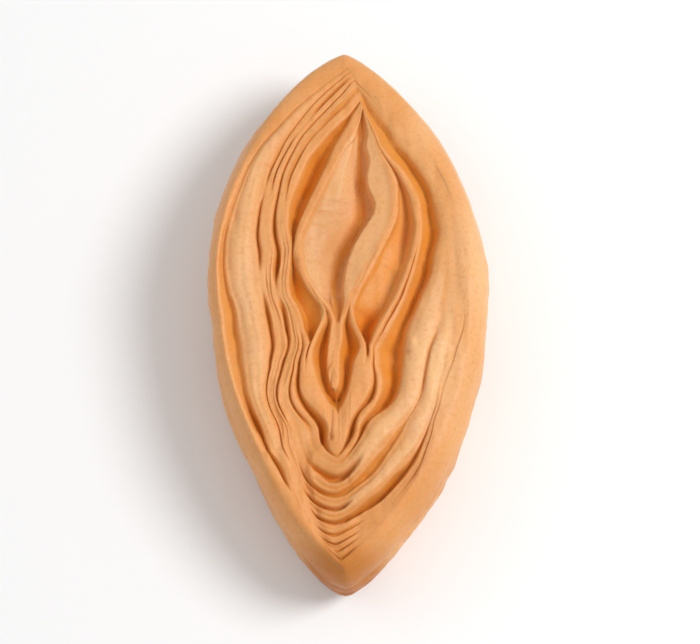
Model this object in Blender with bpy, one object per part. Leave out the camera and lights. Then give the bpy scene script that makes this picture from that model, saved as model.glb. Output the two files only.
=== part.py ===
"""Madatha kaja: a thin sheet of dough rolled up, pressed flat, cut across, fried and soaked in syrup.

The piece lies on one cut face with the other face up. Its outer wrap is the smooth side. Both cut
faces show the edges of the sheet as nested folds, which crowd together at the two tips and open
into pockets between them. The long axis is Y, and the origin is under the middle of the piece.
"""

from collections import namedtuple

import bmesh
import bpy
import numpy as np

MM = 0.001  # every size below is in millimetres, and the mesh is in metres

# Overall size
LENGTH = 95.0
WIDTH = 48.5
THICKNESS = 22.0

# Outer wrap
SIDE_BULGE = 1.8  # how far the side stands out past the rim of a cut face
WIDEST_AT = 4.0  # the widest place, measured from the middle towards the upper tip
LEAF_POWER = 0.8  # 0.5 would make the outline an ellipse, 1.0 a sharp leaf
RIM_DROP = 1.5  # the rim is rounded down by this much
TIP_DROOP = (3.0, 1.6)  # how far the upper face falls towards the lower and the upper tip
SIDE_STEPS = 6

# Nested folds: number 0 is the rim, and the last one goes round the eye
LAST_FOLD = 13
LOWER_RIM_BAND = 1.9  # from the rim to the first fold, along the long axis
LOWER_PITCH = 1.4  # from one fold to the next at the lower tip
LOWER_PITCH_GROWTH = 0.016  # times the square of the fold's number
FIN_GAP = 4.6  # from the last fold but one to the end of the central fin
UPPER_RIM_BAND = 2.6
UPPER_PITCH = 0.56
EYE_SEAM_INSET = 0.8  # the fold line in the eye ends this far from the fold round it
TURN_RADIUS = (3.0, 6.0)  # how fast a fold opens from its lower and its upper turn
TURN_POWER = 0.7

# Centre line of the folds, which runs left of the tip below and right of it above
LOWER_AXIS = -2.5
UPPER_AXIS = 2.5
AXIS_BEND = (-1.0, 27.0)
RIM_AXIS = (0.9, -0.5)  # place of the lower and the upper tip across the piece

# Relief
CREST_HALF = 0.45  # half the thickness of a fold's edge
CREST_ROUNDING = 0.12
CREST_WAVE = 0.35  # the folds' edges rise and fall by this much
GROOVE_SLOPE = 1.1  # depth of a groove for each millimetre that it is wide
DEEPEST = 5.2
VALLEY_AT = 0.56  # the bottom of a groove, as a part of the way to the next fold inwards
UNDERSIDE_DEPTH = 0.45  # the underside was pressed flatter
UNDERSIDE_GROOVES = (2, 5, 8, 11, 12)

# Mesh
SIDE_POINTS = 42  # along each side of a fold, from the lower to the upper turn

RIGHT = 0
LEFT = 1
BOTH = (RIGHT, LEFT)

# A pocket opens between a fold and the next one inwards: its two ends, widest place and width.
# The pair far below the eye spreads the folds that turn there into wide arcs.
Pocket = namedtuple("Pocket", "gap side low peak high width")
POCKETS = (
    Pocket(13, LEFT, -2.0, 17.0, 36.5, 9.6),
    Pocket(13, RIGHT, -2.0, 18.0, 37.5, 8.0),
    Pocket(13, LEFT, -47.0, -30.0, -17.0, 5.0),
    Pocket(13, RIGHT, -47.0, -30.0, -17.0, 4.4),
    Pocket(12, LEFT, -20.0, -9.5, 1.5, 3.2),
    Pocket(12, RIGHT, -19.5, -7.5, 1.5, 4.6),
    Pocket(11, LEFT, -8.0, 0.0, 9.0, 4.6),
    Pocket(11, LEFT, 9.0, 26.0, 38.0, 4.0),
    Pocket(11, RIGHT, -7.0, 3.0, 27.0, 8.6),
    Pocket(10, RIGHT, -9.0, -1.0, 9.0, 1.0),
    Pocket(9, RIGHT, -14.0, 6.0, 38.0, 4.6),
    Pocket(8, RIGHT, -34.0, -14.0, 14.0, 3.8),
    Pocket(7, RIGHT, -36.0, -27.0, -18.0, 0.9),
    Pocket(6, RIGHT, -38.0, -19.0, 12.0, 3.0),
    Pocket(5, RIGHT, -42.0, -32.0, -20.0, 0.9),
    Pocket(8, LEFT, -20.0, -2.0, 12.0, 0.7),
    Pocket(5, LEFT, -18.0, 2.0, 24.0, 0.8),
    Pocket(3, LEFT, -34.0, 2.0, 34.0, 1.0),
    Pocket(2, LEFT, -36.0, 0.0, 38.0, 2.6),
    Pocket(1, LEFT, -32.0, 0.0, 34.0, 1.4),
)

# Where neighbouring layers are stuck together, so that no groove shows between them: the first and
# the last gap, the sides, and the two ends along the long axis.
Weld = namedtuple("Weld", "gaps sides low high")
WELDS = (
    Weld((0, 0), BOTH, -60.0, 60.0),
    Weld((1, 4), (RIGHT,), -36.0, 60.0),
    Weld((5, 5), (RIGHT,), -20.0, 60.0),
    Weld((6, 6), (RIGHT,), -34.0, 60.0),
    Weld((7, 7), (RIGHT,), -18.0, 60.0),
    Weld((8, 8), (RIGHT,), -30.0, 60.0),
    Weld((2, 2), (LEFT,), -34.0, 60.0),
    Weld((1, 12), BOTH, 39.0, 60.0),
)
WELD_FADE = 5.0

CRUST_COLOUR = (0.72, 0.33, 0.12, 1.0)
CRUST_ROUGHNESS = 0.42


def smooth_step(t):
    """0 below 0, 1 above 1, with no corner at either."""
    t = np.clip(t, 0.0, 1.0)
    return t * t * (3.0 - 2.0 * t)


def rim_half_width(y):
    """Half the width of the cut face at a place along the long axis."""
    tip = LENGTH / 2.0 - SIDE_BULGE
    reach = np.where(y > WIDEST_AT, tip - WIDEST_AT, tip + WIDEST_AT)
    along = np.clip(np.abs(y - WIDEST_AT) / reach, 0.0, 1.0)
    return (WIDTH / 2.0 - SIDE_BULGE) * (1.0 - along**2) ** LEAF_POWER


def rim_axis(y):
    """Centre line of the outline, which leans a little from tip to tip."""
    part_up = smooth_step(0.5 + y / LENGTH)
    return RIM_AXIS[0] + (RIM_AXIS[1] - RIM_AXIS[0]) * part_up


def fold_axis(fold, y):
    """Centre line of one fold. The outer folds follow the rim's tips, the inner ones the eye."""
    bend = smooth_step((y - AXIS_BEND[0]) / (AXIS_BEND[1] - AXIS_BEND[0]))
    inner = LOWER_AXIS + (UPPER_AXIS - LOWER_AXIS) * bend
    follow_below = 1.0 - np.exp(-fold / 1.6)
    follow_above = min(fold / LAST_FOLD, 1.0)
    follow = follow_below + (follow_above - follow_below) * smooth_step(0.5 + y / LENGTH)
    return rim_axis(y) + (inner - rim_axis(y)) * follow


def fold_ends():
    """Where each fold turns, at the lower and at the upper tip. The last pair is the eye's seam."""
    tip = LENGTH / 2.0 - SIDE_BULGE
    lower = [-tip, -tip + LOWER_RIM_BAND]
    for fold in range(1, LAST_FOLD - 1):
        lower.append(lower[-1] + LOWER_PITCH + LOWER_PITCH_GROWTH * fold**2)
    lower.append(lower[-1] + FIN_GAP)
    lower.append(lower[-1] + EYE_SEAM_INSET)
    upper = [tip, tip - UPPER_RIM_BAND]
    for fold in range(1, LAST_FOLD):
        upper.append(upper[-1] - UPPER_PITCH)
    upper.append(upper[-1] - EYE_SEAM_INSET)
    return lower, upper


def pocket_shape(y, pocket):
    """How far a pocket is open at a place along the long axis."""
    reach = np.where(y > pocket.peak, pocket.high - pocket.peak, pocket.peak - pocket.low)
    along = np.clip(np.abs(y - pocket.peak) / reach, 0.0, 1.0)
    return pocket.width * (1.0 - along**2) ** 1.5


def inward_share(fold, side, y):
    """The part of the way from the centre line to the rim at which a fold lies."""
    across = rim_half_width(y) + (1.0, -1.0)[side] * (rim_axis(y) - fold_axis(LAST_FOLD, y))
    across = np.maximum(across, 0.5)
    opened = np.zeros((LAST_FOLD + 1, len(y)))
    for pocket in POCKETS:
        if pocket.side == side:
            opened[pocket.gap] += pocket_shape(y, pocket)
    spare = np.maximum(across - opened.sum(axis=0), 0.25 * across)
    share = np.ones(LAST_FOLD + 1)
    share[0] = 2.6
    share[LAST_FOLD] = 0.5
    width = opened + np.outer(share / share.sum(), spare)
    return width[fold:].sum(axis=0) / width.sum(axis=0)


def fold_side(fold, side, lower, upper):
    """Points of one side of a fold, from its lower turn to its upper one."""
    part = 0.5 - 0.5 * np.cos(np.linspace(0.0, np.pi, SIDE_POINTS + 1))
    y = lower[fold] + (upper[fold] - lower[fold]) * part
    sign = (1.0, -1.0)[side]
    if fold == 0:
        return np.column_stack((rim_axis(y) + sign * rim_half_width(y), y))
    axis = fold_axis(fold, y)
    if fold > LAST_FOLD:
        return np.column_stack((axis, y))
    to_rim = rim_half_width(y) + sign * (rim_axis(y) - axis)
    from_turn = np.maximum(y - lower[fold], 0.0), np.maximum(upper[fold] - y, 0.0)
    opening = (1.0 - np.exp(-from_turn[0] / TURN_RADIUS[0])) ** TURN_POWER
    opening *= (1.0 - np.exp(-from_turn[1] / TURN_RADIUS[1])) ** TURN_POWER
    return np.column_stack((axis + sign * opening * inward_share(fold, side, y) * to_rim, y))


def fold_curves():
    """All folds as closed loops of equally many points, from the rim to the eye's seam."""
    lower, upper = fold_ends()
    curves = []
    for fold in range(LAST_FOLD + 2):
        right = fold_side(fold, RIGHT, lower, upper)
        left = fold_side(fold, LEFT, lower, upper)
        curves.append(np.vstack((right, left[-2:0:-1])))
    return curves


def outward_normals(curve):
    """Directions away from the middle, square to a fold."""
    along = np.roll(curve, -1, axis=0) - np.roll(curve, 1, axis=0)
    along /= np.maximum(np.linalg.norm(along, axis=1, keepdims=True), 1e-6)
    return np.column_stack((along[:, 1], -along[:, 0]))


def gap_width(outer, inner):
    """Distance from each point of a fold to the next fold inwards, square to the fold."""
    straight = np.abs(((inner - outer) * outward_normals(outer)).sum(axis=1))
    return np.maximum(straight, 0.3)


def held_open(gap, curve):
    """1 where the layers on both sides of a gap stand apart, 0 where they are stuck together."""
    stuck = np.zeros(len(curve))
    side_of_point = np.where(np.arange(len(curve)) <= SIDE_POINTS, RIGHT, LEFT)
    for weld in WELDS:
        if weld.gaps[0] <= gap <= weld.gaps[1]:
            y = curve[:, 1]
            inside = smooth_step((y - weld.low) / WELD_FADE) * smooth_step((weld.high - y) / WELD_FADE)
            stuck = np.maximum(stuck, np.where(np.isin(side_of_point, weld.sides), inside, 0.0))
    return 1.0 - stuck


def groove_depth(gap, outer, inner):
    """Wide gaps are deep ones, and stuck layers leave none."""
    width = gap_width(outer, inner)
    depth = np.clip(GROOVE_SLOPE * (width - 2.0 * CREST_HALF), 0.0, DEEPEST)
    return depth * held_open(gap, 0.5 * (outer + inner))


def crest_level(fold, y):
    """Height of the folds' edges: almost a plane, lower at the tips, with a slow wave."""
    part = np.abs(y) / (LENGTH / 2.0)
    droop = np.where(y < 0.0, TIP_DROOP[0], TIP_DROOP[1]) * part**3
    wave = CREST_WAVE * np.sin(0.16 * y + 1.9 * fold) * (1.0 - part)
    return THICKNESS - CREST_WAVE - droop + wave


def upper_rows(curves):
    """Rows of points over the upper face, from the rim to the last one before the eye's seam."""
    rows = []
    rim = curves[0]
    rows.append(np.column_stack((rim, crest_level(0, rim[:, 1]) - RIM_DROP)))
    for gap in range(LAST_FOLD + 1):
        outer, inner = curves[gap], curves[gap + 1]
        edge = np.minimum(CREST_HALF / gap_width(outer, inner), 0.36)
        depth = groove_depth(gap, outer, inner)
        steps = [(edge, CREST_ROUNDING), (VALLEY_AT, depth), (1.0 - edge, CREST_ROUNDING)]
        if gap == 0:
            steps = [(0.35, 0.35 * RIM_DROP), (1.0 - edge, CREST_ROUNDING)]
        if gap == LAST_FOLD:
            steps = [(edge, CREST_ROUNDING), (0.6, 0.7 * depth)]
        for part, drop in steps:
            part = np.broadcast_to(part, len(outer))[:, None]
            place = outer + (inner - outer) * part
            height = crest_level(gap + part[:, 0], place[:, 1]) - drop
            rows.append(np.column_stack((place, height)))
    return rows


def side_rows(curves):
    """Rows down the bulging side, from just under the upper rim to just over the lower one."""
    rim = curves[0]
    normal = outward_normals(rim)
    top = crest_level(0, rim[:, 1]) - RIM_DROP
    rows = []
    for step in range(1, SIDE_STEPS):
        turn = np.pi * step / SIDE_STEPS
        out = SIDE_BULGE * np.sin(turn) ** 0.6
        part_up = 0.5 + 0.5 * np.sign(np.cos(turn)) * np.abs(np.cos(turn)) ** 0.8
        height = RIM_DROP * 0.6 + (top - RIM_DROP * 0.6) * part_up
        rows.append(np.column_stack((rim + normal * out, height)))
    return rows


def lower_rows(curves):
    """Rows over the underside: flat lands at the resting level, with shallow grooves between."""
    rim = curves[0]
    rows = [np.column_stack((rim, np.full(len(rim), RIM_DROP * 0.6)))]
    rows.append(np.column_stack((0.4 * rim + 0.6 * curves[1], np.zeros(len(rim)))))
    for gap in UNDERSIDE_GROOVES + (LAST_FOLD,):
        outer, inner = curves[gap], curves[gap + 1]
        edge = np.minimum(CREST_HALF / gap_width(outer, inner), 0.36)
        depth = UNDERSIDE_DEPTH * (0.6 + groove_depth(gap, outer, inner))
        steps = [(edge, 0.0), (0.5, depth), (1.0 - edge, 0.0)]
        if gap == LAST_FOLD:
            steps = [(edge, 0.0), (0.6, 0.7 * depth)]
        for part, height in steps:
            part = np.broadcast_to(part, len(outer))[:, None]
            place = outer + (inner - outer) * part
            rows.append(np.column_stack((place, np.broadcast_to(height, len(outer)))))
    return rows


def seam_row(curves, height):
    """The eye's seam, where the right and the left side of the folds meet."""
    seam = curves[LAST_FOLD + 1][: SIDE_POINTS + 1]
    return np.column_stack((seam, height[: SIDE_POINTS + 1]))


def add_row(mesh, row):
    return [mesh.verts.new(point * MM) for point in row]


def join_rows(mesh, row, next_row):
    """A closed band of faces between two rows of equally many points."""
    count = len(row)
    for i in range(count):
        following = (i + 1) % count
        mesh.faces.new((row[i], row[following], next_row[following], next_row[i]))


def close_on_seam(mesh, row, seam):
    """Joins the innermost row to the seam, whose points serve both sides of the row."""
    count = len(row)
    for i in range(count):
        following = (i + 1) % count
        near = seam[min(i, count - i)]
        far = seam[min(following, count - following)]
        mesh.faces.new((row[i], row[following], far, near))


def crust_material():
    material = bpy.data.materials.new("fried_crust")
    material.use_nodes = True
    shader = material.node_tree.nodes["Principled BSDF"]
    shader.inputs["Base Color"].default_value = CRUST_COLOUR
    shader.inputs["Roughness"].default_value = CRUST_ROUGHNESS
    shader.inputs["Metallic"].default_value = 0.0
    return material


def build_kaja():
    """One closed skin: the eye's seam, the upper face, the side, the underside and its seam."""
    curves = fold_curves()
    eye_depth = groove_depth(LAST_FOLD, curves[LAST_FOLD], curves[LAST_FOLD + 1])
    seam_top = crest_level(LAST_FOLD, curves[LAST_FOLD + 1][:, 1]) - eye_depth
    seam_bottom = UNDERSIDE_DEPTH * (0.6 + eye_depth)
    rows = upper_rows(curves)[::-1] + side_rows(curves) + lower_rows(curves)

    mesh = bmesh.new()
    made = [add_row(mesh, row) for row in rows]
    for row, next_row in zip(made, made[1:]):
        join_rows(mesh, row, next_row)
    close_on_seam(mesh, made[0], add_row(mesh, seam_row(curves, seam_top)))
    close_on_seam(mesh, made[-1], add_row(mesh, seam_row(curves, seam_bottom)))
    bmesh.ops.triangulate(mesh, faces=mesh.faces[:])
    bmesh.ops.recalc_face_normals(mesh, faces=mesh.faces[:])

    data = bpy.data.meshes.new("kaja")
    mesh.to_mesh(data)
    mesh.free()
    data.shade_smooth()
    data.materials.append(crust_material())
    kaja = bpy.data.objects.new("kaja", data)
    bpy.context.scene.collection.objects.link(kaja)
    return kaja


for leftover in list(bpy.data.objects):
    bpy.data.objects.remove(leftover, do_unlink=True)
build_kaja()
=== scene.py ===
import math
from collections import namedtuple

import bpy
import numpy as np
from mathutils import Matrix, Vector


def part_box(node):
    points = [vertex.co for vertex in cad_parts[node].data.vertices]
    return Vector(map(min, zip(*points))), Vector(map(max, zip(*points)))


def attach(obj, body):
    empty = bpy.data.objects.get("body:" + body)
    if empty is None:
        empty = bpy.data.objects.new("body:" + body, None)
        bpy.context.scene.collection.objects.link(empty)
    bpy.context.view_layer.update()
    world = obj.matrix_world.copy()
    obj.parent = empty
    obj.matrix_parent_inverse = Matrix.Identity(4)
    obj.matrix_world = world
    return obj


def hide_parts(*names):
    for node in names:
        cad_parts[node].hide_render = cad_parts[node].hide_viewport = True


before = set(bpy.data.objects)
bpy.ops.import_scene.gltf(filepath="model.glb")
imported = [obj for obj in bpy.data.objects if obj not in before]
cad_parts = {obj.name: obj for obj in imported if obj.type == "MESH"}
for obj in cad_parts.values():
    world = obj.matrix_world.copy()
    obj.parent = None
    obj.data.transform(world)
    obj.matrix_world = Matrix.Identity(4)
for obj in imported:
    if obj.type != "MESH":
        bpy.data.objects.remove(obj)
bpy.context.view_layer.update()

MM = 0.001  # the piece is measured in millimetres; meshes, lights and camera are in metres
TINY = 1e-9
RIGHT, LEFT = 0, 1
BOTH = (RIGHT, LEFT)
SIGN = (1.0, -1.0)  # of the way outwards, right and left

# Uneven waves: about their length and size, their seed, and how many plain waves are added up.
Wave = namedtuple("Wave", "length size seed count", defaults=(14,))
PLAIN_LENGTHS = (0.7, 1.5)  # of the plain waves, in shares of the length
PLAIN_SIZE = 0.6

# Overall size, from the box of the part in model.glb
low_corner, high_corner = (np.array(corner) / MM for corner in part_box("kaja"))
WIDTH, LENGTH, THICKNESS = high_corner - low_corner

# Outer wrap
SIDE_BULGE = 1.8  # how far the side stands out past the rim
BULGE_POWERS = (3.5, 0.9)  # flat half way down, and round at both rims
WIDEST_AT = 4  # measured from the middle towards the upper tip
LEAF_POWER = 0.8  # 0.5 would make the outline an ellipse, 1.0 a sharp leaf
RIM_DROP = (1.5, 0.8)  # the rim is rounded down by this much, right and left
RIM_POWER = 2.2  # 1.0 would make a bevel of it
LOWER_RIM = 0.9  # height of the rounding of the rim that it lies on
LOWER_RIM_INSET = (1.3, 0.8)  # its width, at most this share of the outermost band
TIP_DROOP = (3, 1.6)  # how far the upper face falls towards the lower and the upper tip
WRAP_BACK = 0.18  # the wrap lies back by this much, and swells unevenly
WRAP_SWELL = Wave(16, 0.3, seed=91)
WRAP_GRAIN = Wave(3.2, 0.07, seed=93)  # faint ridges that run along it
PALE_STREAKS = Wave(6, 0.4, seed=101)

# Creases of the wrap
CREASE_HALF = 0.32  # half their width
CREASE_WAVE = Wave(16, 0.5, seed=95)  # their ups and downs
CREASE_FADE = 10  # they fade out over this length at their ends
CREASE_RIM_FADE = 2.25  # and towards both rims
CREASE_SHADE = (0.3, 2.4)  # painted shade: a crease this deep is coloured like a groove of this other depth
STEP_REACH = 4  # below a layer's edge the wrap comes out again over this distance

# Nested folds: number 0 is the rim, the last one goes round the eye and its fin, and the others turn
# at these places near the lower tip
LAST_FOLD = 13
LOWER_TURNS = (-44.8, -43.5, -42.3, -40.9, -39.1, -36.8, -34.3, -31.9, -28.5, -27.4, -26.3, -21.8)
FIN_END = -16  # the lower turn of the last fold
UPPER_RIM_BAND = 3  # from the upper tip to the upper turn of fold 1
UPPER_PITCH = (0.44, 0.66)  # between upper turns, outside and inside the groove round the eye
UPPER_GROOVE = (9, 2.42)  # the fold outside that groove, and the distance to the next turn
EYE_SEAM_INSET = 0.8  # the fold line in the eye ends this far from the fold round it
RIM_BAND = (2.6, 0.3)  # width of the band along the rim, right and left
RIM_BAND_FROM = 12  # it narrows where half the piece is narrower than this
LOWER_LEFT_RIM = (1.2, -24, 14)  # added low on the left: how much, from here down, over this length

# Gaps between folds: what the pockets leave of the width is shared out among all gaps
RIM_SHARE = 0.8  # of the outermost gap, in shares of a tight one
EYE_SHARE = 1.1  # of the innermost gap
SHARE_WAVES = (Wave(26, 0.45, seed=0, count=4), Wave(26, 0.45, seed=40, count=4))  # right and left
LEAST_SHARE = 0.3
LEAST_SPARE = 0.25  # this part of the width is shared out at least
LEAST_HALF_WIDTH = 0.5
LEAST_GAP = 0.3
POCKET_POWER = 1.5  # the higher, the more drawn out are a pocket's ends

# How a fold opens from its turns
LOWER_TURN_RADIUS = (3.1, 2)  # of the outer folds, right and left
INNER_TURN_RADIUS = 6  # of the folds under the eye
LOWER_TURN_POWER = (0.66, 0.85)  # of the outer and the inner folds, which turn more sharply
INNER_TURNS = (9.5, 11.5)  # the folds between which the turn gets sharper
FIN_TURN = (1, 0.5)  # radius and power of the fin's blunt end
UPPER_TURN = (6, 0.7)  # of all folds

# Centre line of the folds, which runs left of the tip below and right of it above
LOWER_AXIS = -1.8
UPPER_AXIS = 2.5
AXIS_BEND = (-1, 27)  # it crosses over between these places
RIM_AXIS = (0.9, -0.5)  # place of the lower and the upper tip across the piece
RIM_FOLLOWERS = 1.6  # about so many folds follow the lower tip
TIP_LEAN = (-1.1, -22, 24)  # how far the lower tip leans, from here down, over this length
SEAM_SHIFT = (1.2, 14, 7)  # the fold line in the eye runs further right: how far, where, and its reach

# Edges of the layers and grooves between them
EDGE_HALF = 0.5  # half the thickness of a layer's edge
EDGE_SHARE = 0.38  # an edge takes at most this part of the gap beside it
EDGE_NOISE = Wave(7, 0.25, seed=600)  # changes of its thickness
EDGE_ROUNDNESS = 0.85  # 1.0 would be a half circle, 0.0 a flat edge
CREST_WAVE = (0.35, 0.16, 1.9)  # edges go up and down: height, and radians to a millimetre and to a fold
LEVEL_SINK = 0.25  # edges lie about this far below the rim's plane
LEVEL_WAVES = (Wave(15, 0.2, seed=200), Wave(5, 0.075, seed=230))
LEVELLING = (80, 0.45)  # drawing stuck layers to one height: rounds, and part of the way in each
WALL_SLOPE = 4.2  # below its edge a layer falls away so steeply
STEP_SLOPE = 1.5  # of smooth_step half way, so that a step is as steep as such a wall
LEAST_STEP = 0.05
DEEPEST = 7  # grooves end before this depth
GROOVE_BOTTOM = (0.12, 0.3, 0.3)  # its rounding: height, at most this part of the depth, and reach
DIAMOND_GAP = 12  # the layers spread apart here in a diamond below the eye
DIAMOND_DEEPEST = 4.4

# The fan of arcs at the lower tip, where the outer folds turn
FAN_TOP = -23
FAN_FADE = 2.8
FAN_EDGES = (range(1, 10), 1.5)  # folds with thick edges there, and half their thickness
FAN_EDGE_ROUNDNESS = 0.45
FAN_WALL_SLOPE = 7
FAN_DEEPEST = 2.5
FAN_LINE = (0.3, 0.24, 7, 4)  # on an arc's crest: depth, half width, reach from the axis, fade
FAN_LINE_CHANGES = Wave(8, 0.6, seed=640)  # it comes and goes
LINED_FOLDS = range(3, 10)

# The eye: a broad sheet on the left, a petal on the right, and a fold line between them
EYE_DEPTH = (4.5, 0.6)  # of the fold line below the edge round it, and how it deepens from both ends
FIN_SEAM_DEPTH = 0.02
FLAT_END = 0.1  # sheet and petal flatten out where the eye is opened less than this
SHEET_VALLEY = (2.1, 0.4)  # how far the sheet curves down, from this part of its width on
SHEET_EDGE = (0.9, 0.6)  # distance of its free edge from the fold line, at most this part of the width
SHEET_FALL = 1.05  # it falls to that line over this distance
PETAL_SLOPE = 0.18
PETAL_STEP = (0.2, 1.5)  # what it falls besides near the fold round it, over this distance
PETAL_EDGE = (1.1, 0.5)
PETAL_SCALLOP = Wave(6, 0.3, seed=61, count=5)  # waves of its free edge
PETAL_NOTCH = (0.9, 16.5, 2.8)  # where that edge steps back: how far, where, and its reach
PETAL_FALL = 0.45
STEEPEST_FALL = 0.8  # a fall takes at most this part of the distance to the fold line

# Unevenness
WARP = (Wave(17, 0.45, seed=170), Wave(7, 0.08, seed=70))  # the folds wander sideways
BUMPS = (Wave(4, 0.08, seed=40, count=22), Wave(1.6, 0.018, seed=16, count=22))
UPPER_BUMPS, WRAP_BUMPS = 300, 400  # numbers for their waves
GRAIN = Wave(2.2, 0.045, seed=350, count=22)  # faint ridges along the layers
GRAIN_SHAPE = (1, 1 / 6)  # ridges are six times longer than wide
WRAP_SHAPE = (1 / 6, 1 / 6, 1)  # and so on the wrap
LEAN = Wave(24, 0.35, seed=17)  # deeper places lie to one side, by this for each millimetre
LEAN_DEPTH = 1.6  # down to this depth
CALM_GAPS = 2.5  # the folds next to the rim don't wander
LINE_STRENGTH = 0.7  # lines come and go about this strength

# Blisters of the wrap and of the pockets
Blisters = namedtuple("Blisters", "count radii height place_seed size_seed")
WRAP_BLISTERS = Blisters(90, (0.7, 1.9), 0.2, 97, 99)
POCKET_BLISTERS = Blisters(420, (0.4, 1.1), 0.24, 81, 83)
BLISTER_RISE = (0.4, 1)  # how much of that height
BLISTER_POWER = 1.5  # 0.5 would make half balls of them
BLISTER_FROM = 1  # in pockets, from this depth on
BLISTER_BAND = (0.15, 0.85)  # on the wrap, in shares of the thickness

# Mesh
SIDE_POINTS = 400  # along each side of a fold, from the lower to the upper turn
POINT_SPACING = 0.15  # about how far they lie apart
POINT_CROWDING = 0.6  # towards the turns: 0.0 would space them evenly
ROWS = (9, 12, 12, 11, 10, 11, 11, 12, 13, 14, 11, 20, 15, 28)  # of points across each gap
ROW_CROWDING = (0.1, 0.55)  # towards the folds, in most gaps and in wide ones
WIDE_GAPS = (11, 12, 13)
FIRST_EYE_GAP = 9  # the upper face is cut into two meshes at this gap
WRAP_ROWS = (74, 0.3)  # and their crowding
LOWER_RIM_ROWS = 4
UNDER_ROWS = {gap: 6 for gap in range(1, 11)} | {11: 12, 12: 8, 13: 22}
UNDER_CROWDING = 0.4
SOFT, SOFT_BAND, SOFT_EDGE, SOFT_RIM = 3, 5, 6, 30  # points on each side to average over

# The underside, which was pressed flatter
UNDER_DEPTH = 0.55  # of its grooves, in shares of those above
UNDER_FLAT = 0.1  # edges up to this depth are pressed into its plane
UNDER_LINE = (0.7, 0.25)  # depth and half width of the line between two layers
UNDER_LINE_CHANGES = Wave(14, 0.7, seed=660)

# In the tables below, gap number n lies between fold n and the next one inwards. Low and high are
# the two ends of what an entry describes, along the piece.

# Pockets between two folds: their ends and widest place, and how wide they open.
Pocket = namedtuple("Pocket", "gap side low peak high width")
EYE = Pocket(13, LEFT, -4.5, 13, 35, 8.6)
POCKETS = (
    EYE,
    Pocket(13, RIGHT, -4.5, 16, 36, 8.2),
    Pocket(13, LEFT, -47, -36, -20, 4.8),  # holds the lower fan open
    Pocket(13, RIGHT, -47, -36, -20, 3.8),
    Pocket(12, LEFT, -21.5, -10.5, -1, 3.4),  # the diamond below the eye
    Pocket(12, RIGHT, -21.5, -9.5, -1, 4.2),
    Pocket(13, BOTH, -16, -12, -2.5, 0.2),  # the fin in the diamond
    Pocket(12, BOTH, -22.5, -18, -12, 2),  # the lower end of the diamond
    Pocket(11, LEFT, -9, 0, 9, 4.4),
    Pocket(11, LEFT, 6, 23, 38, 5.2),  # the dark groove on the left of the eye
    Pocket(11, RIGHT, -9, 1, 28, 8.4),  # the broad lobe on the right below the eye
    Pocket(10, RIGHT, -9, -1, 9, 1),
    Pocket(11, LEFT, -29, -17, -7, 1.5),
    Pocket(11, RIGHT, -29, -17, -7, 1.4),
    Pocket(10, LEFT, -31, -21, -7, 1.4),
    Pocket(10, RIGHT, -30, -20, -9, 1.2),
    Pocket(9, LEFT, -32, -21, -6, 1.2),
    Pocket(9, RIGHT, -27, -4, 45, 5.6),  # the groove on the right of the eye
    Pocket(9, RIGHT, 18, 32, 44, 2.8),
    Pocket(8, RIGHT, -34, -14, 14, 3.8),
    Pocket(7, RIGHT, -39, -31, -18, 2.4),
    Pocket(6, RIGHT, -40, -19, 12, 3),
    Pocket(5, RIGHT, -44, -36, -22, 3.6),
    Pocket(8, LEFT, -35, -26, -2, 1.2),
    Pocket(7, LEFT, -30, 2, 44, 1.5),
    Pocket(3, LEFT, -34, 6, 44, 1.5),
    Pocket(2, LEFT, -36, 12, 44, 3.6),  # the pale band along the left rim
    Pocket(1, LEFT, -39, -18, 40, 2.4),
    Pocket(1, LEFT, -33.5, -29.5, -26, 0.6),
)

# Where the layers on both sides of a gap are stuck together.
BEYOND = 99.0  # beyond either tip and either side
Weld = namedtuple("Weld", "gaps side low high", defaults=(-BEYOND, BEYOND))
WELDS = (
    Weld((0, 2), LEFT),
    Weld((0,), RIGHT),
    Weld((1, 2, 3, 4), RIGHT, low=-38),
    Weld((5,), RIGHT, low=-20),
    Weld((6,), RIGHT, low=-34),
    Weld((7,), RIGHT, low=-18),
    Weld((8,), RIGHT, low=-30),
    Weld((9,), RIGHT, low=34.5),
    Weld((10,), RIGHT, low=6),
    Weld(range(1, 13), RIGHT, low=39),
    Weld((9, 10), BOTH, high=-23.5),
    Weld((11,), BOTH, -29, -8),
    Weld((12,), BOTH, high=-17.2),
    Weld((12,), BOTH, low=-1),
    Weld((3,), LEFT, -3, 9),
    Weld((3,), LEFT, 15, 24),
    Weld((4, 5, 6), LEFT, low=-34),
    Weld((7,), LEFT, -4, 6),
    Weld((7,), LEFT, -30.5, -19),
    Weld((8,), LEFT, low=-31),
    Weld((9,), LEFT, high=-18.5),
    Weld((9, 10), LEFT, low=-9),
    Weld((11, 12), LEFT, low=39),
)
WELD_FADE = 5.0

# Lines that still show between joined layers, and joined bands that bulge.
Line = namedtuple("Line", "gaps side low high depth")
LINES = (
    Line((2,), LEFT, -30, 32, 0.2),
    Line((3,), RIGHT, -36, -2, 0.3),
    Line((7,), RIGHT, -22, -3, 0.5),
    Line((5,), LEFT, 18, BEYOND, 0.7),
    Line((9,), LEFT, 16, BEYOND, 0.7),
    Line((7, 8), RIGHT, 34, BEYOND, 0.15),
    Line((4,), LEFT, -30, 7, 0.2),
    Line((5,), LEFT, -26, 3, 0.16),
    Line((6,), LEFT, -32, 10, 0.2),
    Line((8,), LEFT, -28, 12, 0.2),
    Line((10,), LEFT, -8, 14, 0.14),
    Line((9, 10), LEFT, -34, -20, 0.35),
    Line((9, 10), RIGHT, -34, -20, 0.25),
)
LINE_HALF = 0.38  # half the width of a line
LINE_CHANGES = Wave(12.0, 0.6, seed=620)
LEAST_LINE = 0.1
Bulge = namedtuple("Bulge", "gap side low high height")
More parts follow.
